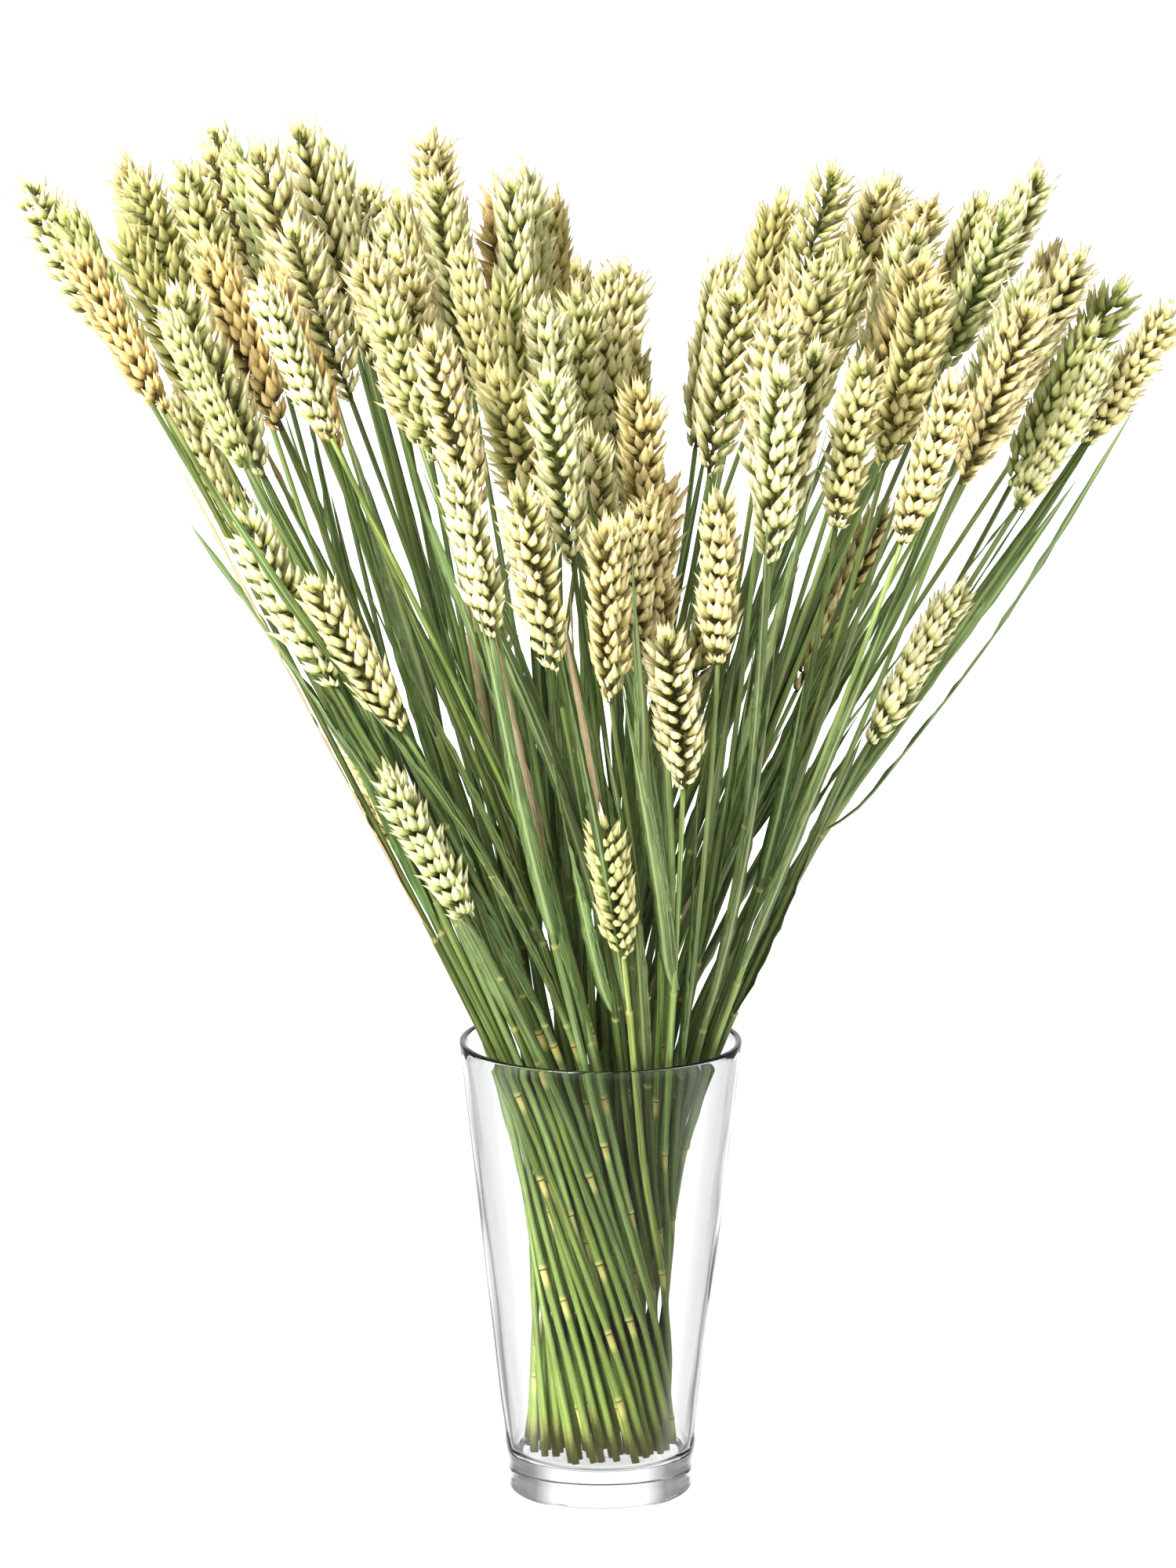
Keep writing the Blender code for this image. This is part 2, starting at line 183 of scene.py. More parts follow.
LEAF_TURN = 1.6
STEM_BELOW_EAR = 30 * MM
LEVELS = np.arange(61) * 12 * MM + 20 * MM
ROOM_ROUND_STEM = 2.4 * MM
ROOM_STEM = 3.6 * MM
ROOM_EAR = 12.5 * MM
ROOM_LEAF = 7 * MM
ROOM_FROM = 120 * MM
ROOM_FULL = 200 * MM
ROOM_ROUNDS = 120
ROOM_PUSH = 0.4
EAR_FOOT_ROOM = 6 * MM
EAR_TIP_ROOM = 8 * MM
BUNCH_SEED = 11
RIPENESS_POWER = 1.5
WAY_STEP = 3 * MM
STALKS_IN_NODE = 2
NODES_IN_GROUP = 4
STEM_SIDES = 8
STEM_FOOT_RADIUS = 1.95 * MM
STEM_TOP_RADIUS = 1.3 * MM
STEM_RING_PITCH = 22 * MM
STRAW_WALL = 0.45 * MM
STRAW_HOLLOW = 4 * MM
CUT_END_PALENESS = 0.6
SHEATH_LENGTH = (90 * MM, 170 * MM)
SHEATH_THICKNESS = 0.38 * MM
TOP_COLLAR_SHARE = (0.42, 0.66)
COLLAR_DISTANCE = (90 * MM, 170 * MM)
LOWEST_COLLAR = 215 * MM
LOWEST_NODE = 8 * MM
NODE_SWELLING = 0.3 * MM
# Rings of a node and of a collar: how far up, how swollen, how brown and how pale each is
NODE_RINGS = [
    (-11, 0, 0, 0), (-6, 0, 0, 0.6), (-0.6, 0.5, 0, 0.8), (-0.3, 1, 0.9, 0), (0.3, 1, 0.9, 0),
    (0.6, 0.6, 0, 0.35), (3, 0, 0, 0),
]
COLLAR_RINGS = [
    (-2, 0, 0, 0), (-1, 0.3, 0, 0.3), (0, 0.8, 0.3, 0.4), (0.3, 0, 0, 0.1), (2, 0, 0, 0),
]
DETAIL_SEED = 4


def spread(z):
    """Half the bunch's width at height z: narrow in the vase, opening above the rim."""
    opening = LEAN * BEND_LENGTH * np.log1p(np.exp((z - BEND_HEIGHT) / BEND_LENGTH))
    flare = FOOT_FLARE * (np.maximum(WAIST_HEIGHT - z, 0) / WAIST_HEIGHT) ** 2
    return WAIST_RADIUS + opening + flare


def twist(z):
    """How far a straight stalk of a spiral bunch still turns above height z."""
    at_top = np.arctan(TWIST_RATE * (FLATTENED_TO - WAIST_HEIGHT))
    return at_top - np.arctan(TWIST_RATE * (z - WAIST_HEIGHT))


def bunch_place(label, z):
    """Where a stalk with this place (u, v) in the bunch is at height z."""
    u, v = label[..., 0], label[..., 1]
    turn = twist(z)
    rise = np.clip((z - FLATTENED_FROM) / (FLATTENED_TO - FLATTENED_FROM), 0, 1)
    depth_share = 1 - (1 - FLATNESS) * rise
    x = (u * np.cos(turn) - v * np.sin(turn)) * spread(z)
    y = (u * np.sin(turn) + v * np.cos(turn)) * spread(z) * depth_share
    return np.stack([x, y], axis=-1)


def crown_tips(random):
    """(u, v, height) of the long stalks' tips: an even spiral over the disc, parted once."""
    count = np.arange(CROWN_STALKS)
    radius = np.sqrt((count + 0.5) / CROWN_STALKS)
    u = radius * np.cos(count * GOLDEN_ANGLE)
    v = radius * np.sin(count * GOLDEN_ANGLE)
    u = u + PARTING_PUSH * np.tanh((u - PARTING_PLACE) / PARTING_WIDTH)
    u = np.where(u > PARTING_PLACE, u * CROWN_RIGHT_REACH, u)
    outline = np.array(CROWN_OUTLINE) * MM
    reach = np.interp(u * spread(FLATTENED_TO), outline[:, 0], outline[:, 1])
    drop = CROWN_DROP + CROWN_DOME * v * v + CROWN_FRONT_DROP * np.maximum(-v, 0)
    uneven = CROWN_UNEVENNESS * (1 - CROWN_EDGE_EVENNESS * np.minimum(u * u, 1))
    height = reach - drop - uneven * random.random(CROWN_STALKS)
    return np.stack([u, v, height], axis=-1)


def short_tips():
    """(u, v, height) of the short stalks' tips, which lie round the outside of the bunch."""
    tips = []
    for side, places in ((-1, SHORT_IN_FRONT), (1, SHORT_BEHIND)):
        for x, height in places:
            turn = twist(height * MM)
            right = min(max(x * MM / spread(height * MM), -1), 1)
            back = side * math.sqrt(SHORT_OUTWARD**2 - right * right)
            u = right * math.cos(turn) + back * math.sin(turn)
            v = back * math.cos(turn) - right * math.sin(turn)
            tips.append((u, v, height * MM))
    return np.array(tips)


def waist_and_tips(tips):
    """Places at the waist, row by row with two stalks to a pair, and the tips in their order."""
    places, rows, first = [], [], 0
    rise = (len(ROW_PAIRS) - 1) / 2
    ordered = tips[np.argsort(tips[:, 1], kind="stable")]
    for row, pairs in enumerate(ROW_PAIRS):
        for pair in range(pairs):
            middle = (pair - (pairs - 1) / 2) * PAIR_PITCH
            for side in (-1, 1):
                x = middle + side * PAIR_DISTANCE / 2
                places.append((x / WAIST_RADIUS, (row - rise) * ROW_PITCH / WAIST_RADIUS))
        members = ordered[first : first + 2 * pairs]
        rows.append(members[np.argsort(members[:, 0], kind="stable")])
        first += 2 * pairs
    return np.array(places), np.concatenate(rows)


def smooth_step(low, high, value):
    share = np.clip((value - low) / (high - low), 0, 1)
    return share * share * (3 - 2 * share)


def make_room(lines, room, own_stalk):
    """Pushes apart, level by level, lines that come closer than the room they need."""
    start = lines.copy()
    ramp = smooth_step(ROOM_FROM, ROOM_FULL, LEVELS)[None, :, None]
    there = room > 0
    both = there[:, None] & there[None]
    for leaf, stalk in own_stalk:
        both[leaf, stalk] = both[stalk, leaf] = False
    both[np.arange(len(lines)), np.arange(len(lines))] = False
    need = room[:, None] + room[None]
    for _ in range(ROOM_ROUNDS):
        apart = lines[:, None] - lines[None]
        distance = np.maximum(np.linalg.norm(apart, axis=-1), 1e-6)
        short = np.where(both, np.maximum(need - distance, 0), 0)
        push = (apart / distance[..., None] * short[..., None]).sum(axis=1) * ROOM_PUSH
        moved = lines - start + push
        padded = np.pad(moved, ((0, 0), (1, 1), (0, 0)), mode="edge")
        moved = (padded[:, :-2] + 2 * moved + padded[:, 2:]) / 4
        lines = start + moved * ramp
    return lines


def height_below(line, top, length):
    """The height that lies this far down the line from height top."""
    z, left = top, length
    step = 2 * MM
    while left > 0:
        here = [np.interp(height, LEVELS, line[:, k]) for height in (z, z - step) for k in (0, 1)]
        left -= math.sqrt((here[0] - here[2]) ** 2 + (here[1] - here[3]) ** 2 + step * step)
        z -= step
    return z


def plan_bunch():
    """Every stalk as a line with its heights, and its leaves, after all have made room."""
    random = np.random.RandomState(BUNCH_SEED)
    waist, tips = waist_and_tips(np.concatenate([crown_tips(random), short_tips()]))
    lines = []
    for tip, start in zip(tips, waist):
        share = smooth_step(WAIST_HEIGHT, tip[2], LEVELS)[:, None]
        lines.append(bunch_place((1 - share) * start + share * tip[:2], LEVELS))
    lines = np.array(lines)
    ear_lengths = EAR_LENGTH + EAR_LENGTH_SPREAD * (2 * random.random(len(tips)) - 1)
    cuts = STEM_CUT_LOW + STEM_CUT_SPREAD * random.random(len(tips)) ** 3
    random.random(len(tips))  # the ears' rolls in the CAD, drawn here too to keep its order
    feet = [height_below(line, tip[2], size) for line, tip, size in zip(lines, tips, ear_lengths)]

    leaves, leaf_lines = [], []
    outer = np.hypot(tips[:, 0], tips[:, 1]) > LEAF_FIRST_PLACE
    for owner in np.flatnonzero(outer)[::2]:
        low = LEAF_LOW + (LEAF_HIGH - LEAF_LOW) * random.random()
        low = min(low, feet[owner] - STEM_BELOW_EAR)
        length = LEAF_LENGTH + LEAF_LENGTH_SPREAD * (2 * random.random() - 1)
        outward = math.atan2(tips[owner, 1], tips[owner, 0]) + LEAF_TURN * (random.random() - 0.5)
        leaves.append((owner, low, length, outward))
        away = np.maximum(LEVELS - low, 0)[:, None] * LEAF_LEAN + ROOM_ROUND_STEM
        leaf_lines.append(lines[owner] + away * np.array([math.cos(outward), math.sin(outward)]))

    room = np.zeros((len(tips) + len(leaves), len(LEVELS)))
    for k, (tip, foot) in enumerate(zip(tips, feet)):
        room[k] = np.where(LEVELS < foot - EAR_FOOT_ROOM, ROOM_STEM, ROOM_EAR)
        room[k, LEVELS > tip[2] + EAR_TIP_ROOM] = 0
    for k, (owner, low, length, outward) in enumerate(leaves):
        room[len(tips) + k, (LEVELS > low) & (LEVELS < low + length)] = ROOM_LEAF
    own_stalk = [(len(tips) + k, leaf[0]) for k, leaf in enumerate(leaves)]
    lines = make_room(np.concatenate([lines, leaf_lines]), room, own_stalk)

    stalks = [
        {"line": lines[k], "cut": cuts[k], "foot": feet[k], "tip": tips[k, 2], "leaves": []}
        for k in range(len(tips))
    ]
    for k, (owner, low, length, outward) in enumerate(leaves):
        stalks[owner]["leaves"].append(
            {"line": lines[len(tips) + k], "low": low, "high": low + length, "outward": outward}
        )
    return stalks


def way_along(line, low, high):
    """A line between two heights as close points with their distances and directions."""
    z = np.arange(low, high + WAY_STEP, WAY_STEP)
    points = np.stack([np.interp(z, LEVELS, line[:, 0]), np.interp(z, LEVELS, line[:, 1]), z], 1)
    padded = np.pad(points, ((2, 2), (0, 0)), mode="reflect", reflect_type="odd")
    points = sum(padded[k : k + len(z)] for k in range(5)) / 5
    return way_through(points)


def way_through(points):
    """Points as a way: with their distances along it and their directions."""
    steps = np.linalg.norm(np.diff(points, axis=0), axis=1)
    directions = np.gradient(points, axis=0)
    directions /= np.linalg.norm(directions, axis=1)[:, None]
    return {"at": np.concatenate([[0], np.cumsum(steps)]), "points": points, "along": directions}


def carry(mesh, way, start, roll):
    """Lays a straight mesh, which stands on +Z, along a way from this distance on."""
    places = np.empty(len(mesh.vertices) * 3, dtype=np.float32)
    mesh.vertices.foreach_get("co", places)
    places = places.reshape(-1, 3)
    at = start + places[:, 2]
    beyond = (at - np.clip(at, 0, way["at"][-1]))[:, None]
    centre = np.stack([np.interp(at, way["at"], way["points"][:, k]) for k in range(3)], 1)
    along = np.stack([np.interp(at, way["at"], way["along"][:, k]) for k in range(3)], 1)
    along /= np.linalg.norm(along, axis=1)[:, None]
    across = np.array([1.0, 0, 0]) - along * along[:, :1]
    across /= np.linalg.norm(across, axis=1)[:, None]
    behind = np.cross(along, across)
    x = places[:, :1] * math.cos(roll) - places[:, 1:2] * math.sin(roll)
    y = places[:, :1] * math.sin(roll) + places[:, 1:2] * math.cos(roll)
    laid = centre + along * beyond + across * x + behind * y
    mesh.vertices.foreach_set("co", laid.astype(np.float32).ravel())
    mesh.update()


def keep_straight_places(bm):
    """Stores where each vertex is before it is laid along a way, for patterns to follow."""
    layer = bm.verts.layers.float_vector.new("straight")
    for vert in bm.verts:
        vert[layer] = vert.co


def to_mesh(bm):
    mesh = bpy.data.meshes.new("loose")
    bm.to_mesh(mesh)
    bm.free()
    return mesh


def set_tint(mesh, *values):
    """Writes one colour of per-stalk values into every vertex's tint."""
    tint = mesh.attributes.get("tint") or mesh.attributes.new("tint", "FLOAT_COLOR", "POINT")
    tint.data.foreach_set("color", np.tile(np.array(values, dtype=np.float32), len(mesh.vertices)))


def stem_rings(length, collars, nodes):
    """(height, radius, brown, pale) of a straw's rings from its cut end up to its ear."""
    count = max(2, round(length / STEM_RING_PITCH))
    rings = {length * k / count: (0, 0, 0) for k in range(count + 1)}
    for places, shape in ((nodes, NODE_RINGS), (collars, COLLAR_RINGS)):
        for place in places:
            low, high = place + shape[0][0] * MM, place + shape[-1][0] * MM
            rings = {
                h: ring for h, ring in rings.items() if h in (0, length) or not low < h < high
            }
            for rise, swelling, brown, pale in shape:
                rings[place + rise * MM] = (swelling, brown, pale)
    made = []
    for height in sorted(rings):
        swelling, brown, pale = rings[height]
        radius = STEM_FOOT_RADIUS + (STEM_TOP_RADIUS - STEM_FOOT_RADIUS) * height / length
        if any(node < height <= collar for node, collar in zip(nodes, collars)):
            radius += SHEATH_THICKNESS
        made.append((height, radius + swelling * NODE_SWELLING, brown, pale))
    return [ring for ring in made if 0 <= ring[0] <= length]


def straight_stem(length, collars, nodes):
    """A straw on +Z: a ring of vertices extruded from ring to ring, hollow at its cut end."""
    bm = bmesh.new()
    mark = bm.verts.layers.float_color.new("mark")
    rings = stem_rings(length, collars, nodes)
    bmesh.ops.create_circle(bm, cap_ends=True, radius=rings[0][1], segments=STEM_SIDES)
    end = bm.faces[:]
    edges = bm.edges[:]
    for vert in bm.verts:
        vert[mark] = (0, CUT_END_PALENESS, 0, 1)
    for (low, before, _, _), (high, after, brown, pale) in zip(rings, rings[1:]):
        grown = bmesh.ops.extrude_edge_only(bm, edges=edges)["geom"]
        verts = [part for part in grown if isinstance(part, bmesh.types.BMVert)]
        edges = [part for part in grown if isinstance(part, bmesh.types.BMEdge)]
        bmesh.ops.scale(bm, vec=(after / before, after / before, 1), verts=verts)
        bmesh.ops.translate(bm, vec=(0, 0, high - low), verts=verts)
        for vert in verts:
            vert[mark] = (brown, pale, high / length, 1)
    bmesh.ops.holes_fill(bm, edges=edges, sides=0)
    bmesh.ops.inset_individual(bm, faces=end, thickness=STRAW_WALL, use_even_offset=True)
    bmesh.ops.translate(bm, vec=(0, 0, STRAW_HOLLOW), verts=end[0].verts)
    bmesh.ops.recalc_face_normals(bm, faces=bm.faces)
    keep_straight_places(bm)
    return to_mesh(bm)


def add_ramp(tree, share, stops):
    """A colour ramp through these (position, hex colour) stops; its colour socket."""
    node = add_node(tree, "ValToRGB", {"Fac": share})
    ends = node.color_ramp.elements
    for end, (position, colour) in ((ends[0], stops[0]), (ends[1], stops[-1])):
        end.position = position
        end.color = from_hex(colour)
    for position, colour in stops[1:-1]:
        ends.new(position).color = from_hex(colour)
    return node.outputs[0]


def add_mix(tree, share, first, second, blend="MIX"):
    """Two colours mixed by a share, or the first multiplied; its colour socket."""
    inputs = {0: share, 6: first, 7: second}
    return add_node(tree, "Mix", inputs, data_type="RGBA", blend_type=blend).outputs[2]


def add_range(tree, value, low, high, at_low, at_high):
    """A value clamped to a range and mapped to another; its socket."""
    node = add_node(tree, "MapRange", {0: value, 1: low, 2: high, 3: at_low, 4: at_high})
    return node.outputs[0]


def add_product(tree, first, second):
    """The product of two values; its socket."""
    return add_node(tree, "Math", {0: first, 1: second}, operation="MULTIPLY").outputs[0]


# Fresh-cut wheat straw and sheath, a waxy green skin over ribs 0.4 mm apart: matt, finely
# striped along, yellower towards the ear, with brown nodes between pale bands
straw, tree, shader = new_material("green wheat straw, waxy and ribbed")
place = add_node(tree, "Attribute", attribute_name="straight")
tint = add_node(tree, "Attribute", attribute_name="tint")
mark = add_node(tree, "Attribute", attribute_name="mark")
tints = add_node(tree, "SeparateColor", {"Color": tint.outputs["Color"]})
marks = add_node(tree, "SeparateColor", {"Color": mark.outputs["Color"]})
# Ribs: noise that is 0.45 mm wide round the straw and 30 mm long along it
along = add_node(tree, "Mapping", {"Vector": place.outputs["Vector"], "Scale": (2200, 2200, 30)})
ribs = add_node(tree, "TexNoise", {"Vector": along.outputs[0], "Scale": 1, "Detail": 1})
patches = add_node(tree, "Mapping", {"Vector": place.outputs["Vector"], "Scale": (90, 90, 25)})
cloud = add_node(tree, "TexNoise", {"Vector": patches.outputs[0], "Scale": 1, "Detail": 2})
green = add_ramp(tree, ribs.outputs[0], [(0.32, "2c4417"), (0.7, "8aa34f")])
straw_yellow = add_ramp(tree, ribs.outputs[0], [(0.3, "717f36"), (0.7, "b2ba6c")])
ripe = add_product(tree, tints.outputs[0], marks.outputs[2])
skin = add_mix(tree, ripe, green, straw_yellow)
# A pale wax bloom, thick on some stalks and rubbed off others
bloom = add_product(tree, tints.outputs[2], ribs.outputs[0])
waxed = add_mix(tree, bloom, skin, from_hex("a0b87a"))
# Lighter and darker places, and lighter and darker stalks
patchy = add_range(tree, cloud.outputs[0], 0.3, 0.7, 0.8, 1.12)
own = add_range(tree, tints.outputs[1], 0, 1, 0.55, 1.12)
shaded = add_mix(tree, 1.0, waxed, add_product(tree, patchy, own), "MULTIPLY")
# Older, lighter straw towards the cut end
old_age = add_range(tree, marks.outputs[2], 0, 0.3, 0.75, 0)
lower = add_mix(tree, old_age, shaded, from_hex("8b9c4c"))
# Brown blotches, where the sheath has begun to dry
blotch = add_range(tree, cloud.outputs[0], 0.58, 0.74, 0, 0.55)
stained = add_mix(tree, blotch, lower, from_hex("6a5a33"))
# Pale bands and brown rings at the nodes and collars
banded = add_mix(tree, marks.outputs[1], stained, from_hex("d4c77e"))
ringed = add_mix(tree, marks.outputs[0], banded, from_hex("7a5a30"))
tree.links.new(ringed, shader.inputs["Base Color"])
bump = add_node(tree, "Bump", {"Height": ribs.outputs[0], "Strength": 0.5, "Distance": 0.12 * MM})
tree.links.new(bump.outputs[0], shader.inputs["Normal"])
shader.inputs["Roughness"].default_value = 0.48

stalks = plan_bunch()
groups = []
per_group = STALKS_IN_NODE * NODES_IN_GROUP
for first in range(0, len(stalks), per_group):
    members = stalks[first : first + per_group]
    low = first // STALKS_IN_NODE
    high = (first + len(members)) // STALKS_IN_NODE
    groups.append((members, [f"wheat_stalks_{k + 1:02d}" for k in range(low, high)]))

random = np.random.RandomState(DETAIL_SEED)
for stalk in stalks:
    way = way_along(stalk["line"], stalk["cut"], stalk["tip"])
    stalk["way"] = way
    stalk["ear_at"] = float(np.interp(stalk["foot"], way["points"][:, 2], way["at"]))
    stalk["ripeness"] = random.random() ** RIPENESS_POWER
    if stalk["leaves"]:
        collar = float(np.interp(stalk["leaves"][0]["low"], way["points"][:, 2], way["at"]))
    else:
        collar = stalk["ear_at"] * random.uniform(*TOP_COLLAR_SHARE)
    collars = []
    while collar > LOWEST_COLLAR:
        collars.append(collar)
        collar -= random.uniform(*COLLAR_DISTANCE)
    nodes = [collar - random.uniform(*SHEATH_LENGTH) for collar in collars]
    if nodes:
        nodes.append(nodes[-1] - random.uniform(*SHEATH_LENGTH))
    stalk["collars"] = collars
    stalk["nodes"] = [node for node in nodes if node > LOWEST_NODE]
for number, (members, nodes) in enumerate(groups):
    bm = bmesh.new()
    for stalk in members:
        stem = straight_stem(stalk["ear_at"], stalk["collars"], stalk["nodes"])
        set_tint(stem, stalk["ripeness"], random.random(), random.random(), 1)
        carry(stem, stalk["way"], 0, random.uniform(0, 2 * math.pi))
        bm.from_mesh(stem)
        bpy.data.meshes.remove(stem)
    new_piece(f"stems_{number + 1:02d}", bm, straw, nodes)


# Leaf blades. Long narrow green blades of the same plants, folded along a pale midrib. Each
# grows from its stem where the sheath ends, rises beside it, turns over and ends in a point.
BLADE_ACROSS = 4
BLADE_ALONG = 24
BLADE_THICKNESS = 0.28 * MM
BLADE_HALF_WIDTH = (2.5 * MM, 5.6 * MM)
BLADE_FOLD = 0.55
BLADE_TURNS = 0.8
BLADE_RIPPLE = 0.7 * MM
BLADE_RIPPLES = 9
BLADE_TIP_HALF_WIDTH = 0.15 * MM
BLADE_LENGTH = (130 * MM, 270 * MM)
BLADE_LEAN = (0.0, 0.06)
BLADE_TIP_BELOW_TOP = 20 * MM
BLADE_JOINING = 25 * MM
BLADE_FOOT_WIDTH = 0.45
BLADE_WIDENING = 4
BLADE_TAPER = 2.6
BLADE_TURN_BEGINS = (0.1, 0.6)
BLADE_FOLD_SPREAD = (0.5, 1.6)
BLADE_PALENESS_POWER = 1.5
DRIED_SHARE = 0.07
DRIED_DRYNESS = (0.7, 1)
GREEN_DRYNESS = (0, 0.12)
BLADE_SEED = 7


def straight_blade(random, length, half_width):
    """A blade on +Z: a grid narrowed to a point, folded, twisted, rippled and thickened."""
    bm = bmesh.new()
    mark = bm.verts.layers.float_color.new("mark")
    bmesh.ops.create_grid(bm, x_segments=BLADE_ACROSS, y_segments=BLADE_ALONG, size=0.5)
    turns = BLADE_TURNS * random.uniform(-1, 1) * 2 * math.pi
    begins = random.uniform(*BLADE_TURN_BEGINS)
    fold = BLADE_FOLD * random.uniform(*BLADE_FOLD_SPREAD)
    phase = random.uniform(0, 6)
    for vert in bm.verts:
        across = vert.co.x * 2
        share = vert.co.y + 0.5
        widened = min(1, BLADE_FOOT_WIDTH + BLADE_WIDENING * share)
        wide = half_width * widened * (1 - share**BLADE_TAPER) + BLADE_TIP_HALF_WIDTH
        x = across * wide
        y = abs(across) * wide * fold * (1 - 0.5 * share)
        wave = math.sin(BLADE_RIPPLES * share * 2 * math.pi + phase) * min(1, 5 * share)
        y += BLADE_RIPPLE * across * wave * wide / half_width
        angle = turns * max(0, share - begins) ** 1.5
        vert.co = (
            x * math.cos(angle) - y * math.sin(angle),
            x * math.sin(angle) + y * math.cos(angle),
            share * length,
        )
        vert[mark] = (abs(across), share, 0, 1)
    bmesh.ops.recalc_face_normals(bm, faces=bm.faces)
    bmesh.ops.solidify(bm, geom=bm.faces[:], thickness=BLADE_THICKNESS)
    bmesh.ops.recalc_face_normals(bm, faces=bm.faces)
    keep_straight_places(bm)
    return to_mesh(bm)


# Wheat leaf, thin and parallel-veined, veins about 0.5 mm apart beside a pale midrib: satin
# green, paler on some stalks, and here and there dried to a pinkish straw colour
leaf_skin, tree, shader = new_material("wheat leaf blade, parallel-veined")
place = add_node(tree, "Attribute", attribute_name="straight")
tint = add_node(tree, "Attribute", attribute_name="tint")
mark = add_node(tree, "Attribute", attribute_name="mark")
tints = add_node(tree, "SeparateColor", {"Color": tint.outputs["Color"]})
marks = add_node(tree, "SeparateColor", {"Color": mark.outputs["Color"]})
along = add_node(tree, "Mapping", {"Vector": place.outputs["Vector"], "Scale": (1900, 1900, 14)})
veins = add_node(tree, "TexNoise", {"Vector": along.outputs[0], "Scale": 1, "Detail": 1})
patches = add_node(tree, "Mapping", {"Vector": place.outputs["Vector"], "Scale": (120, 120, 40)})
cloud = add_node(tree, "TexNoise", {"Vector": patches.outputs[0], "Scale": 1, "Detail": 3})
green = add_ramp(tree, veins.outputs[0], [(0.3, "2c431a"), (0.72, "76994f")])
pale = add_ramp(tree, veins.outputs[0], [(0.3, "526c37"), (0.72, "a2bc7c")])
dry = add_ramp(tree, veins.outputs[0], [(0.3, "a98a63"), (0.72, "e3cdb0")])
leafy = add_mix(tree, tints.outputs[0], green, pale)
aged = add_mix(tree, tints.outputs[1], leafy, dry)
patchy = add_range(tree, cloud.outputs[0], 0.3, 0.7, 0.84, 1.12)
own = add_range(tree, tints.outputs[2], 0, 1, 0.55, 1.12)
shaded = add_mix(tree, 1.0, aged, add_product(tree, patchy, own), "MULTIPLY")
midrib = add_range(tree, marks.outputs[0], 0, 0.3, 0.6, 0)
ribbed = add_mix(tree, midrib, shaded, from_hex("b9c588"))
tree.links.new(ribbed, shader.inputs["Base Color"])
bump = add_node(tree, "Bump", {"Height": veins.outputs[0], "Strength": 0.4, "Distance": 0.1 * MM})
tree.links.new(bump.outputs[0], shader.inputs["Normal"])
shader.inputs["Roughness"].default_value = 0.42

random = np.random.RandomState(BLADE_SEED)
for number, (members, nodes) in enumerate(groups):
    bm = bmesh.new()
    for stalk in members:
        blades = list(stalk["leaves"])
        for collar in stalk["collars"][len(blades) :]:
            low = float(np.interp(collar, stalk["way"]["at"], stalk["way"]["points"][:, 2]))
            high = min(low + random.uniform(*BLADE_LENGTH), stalk["tip"] - BLADE_TIP_BELOW_TOP)
            outward = random.uniform(0, 2 * math.pi)
            away = np.maximum(LEVELS - low, 0)[:, None] * random.uniform(*BLADE_LEAN)
            sideways = np.array([math.cos(outward), math.sin(outward)])
            line = stalk["line"] + (away + ROOM_ROUND_STEM) * sideways
            blades.append({"line": line, "low": low, "high": high, "outward": outward})
        for blade in blades:
            way = way_along(blade["line"], blade["low"], blade["high"])
            foot = np.array([np.interp(blade["low"], LEVELS, stalk["line"][:, k]) for k in (0, 1)])
            joining = np.clip(1 - way["at"] / BLADE_JOINING, 0, 1)[:, None] ** 2
            way["points"][:, :2] += (foot - way["points"][0, :2]) * joining
            way = way_through(way["points"])
            mesh = straight_blade(random, way["at"][-1], random.uniform(*BLADE_HALF_WIDTH))
            dried = random.random() < DRIED_SHARE
            dryness = random.uniform(*(DRIED_DRYNESS if dried else GREEN_DRYNESS))
            paleness = random.random() ** BLADE_PALENESS_POWER
            set_tint(mesh, paleness, dryness, random.random(), 1)
            carry(mesh, way, 0, blade["outward"] + math.pi / 2)
            bm.from_mesh(mesh)
            bpy.data.meshes.remove(mesh)
    new_piece(f"leaf_blades_{number + 1:02d}", bm, leaf_skin, nodes)


# Ears. Each has about twenty spikelets, set in turn on the two sides of a zigzag axis, and a
# last one across its tip. A spikelet is a fan of six boat-shaped husks with pointed ends: two
# glumes outside and four lemmas, each tightly round its grain.
EAR_OPENNESS = (0.75, 0.9, 1.0, 1.1, 1.25, 1.4, 1.6)
EAR_MADE_LENGTH = 98 * MM
EAR_SPIKELETS = 20
EAR_END = 13 * MM
EAR_FULLNESS = (1.18, 1.38)
HUSK_SIDES = 6
HUSK_LENGTH = 13 * MM
HUSK_RADIUS = 2.4 * MM
HUSK_PROFILE = [(0, 0.46), (0.2, 0.94), (0.46, 1), (0.76, 0.5)]
HUSK_FLARE = 1.0 * MM
HUSK_INSIDE_FLATNESS = 0.45
HUSK_KEEL = 1.35
HUSK_BOW = 0.9 * MM
HUSK_MARGIN = (0.5, 0.95)
AXIS_RADIUS = 0.9 * MM
AXIS_SIDES = 5
AXIS_ZIGZAG = 1.1 * MM
AWN_LENGTH = (0.5, 3.6)
TIP_AWN_LENGTH = 14
TIP_BEGINS = 0.7
SPIKELET_SIZE_SPREAD = (0.94, 1.05)
SPIKELET_TURN = 11
HUSK_LEAN_SPREAD = (0.6, 1.4)
HUSK_SIDEWAYS_SPREAD = (0.5, 1.5)
HUSK_SIZE_SPREAD = (0.9, 1.08)
HUSK_KEEL_TURN = 0.9
TIP_SPIKELET_OUT = 0.2
TIP_SPIKELET_SIDEWAYS = 0.4
EAR_RIPENESS_SHARE = 0.7
EAR_RIPENESS_SPREAD = 0.5
EAR_GREENNESS = 0.6
EAR_GREENNESS_POWER = 3
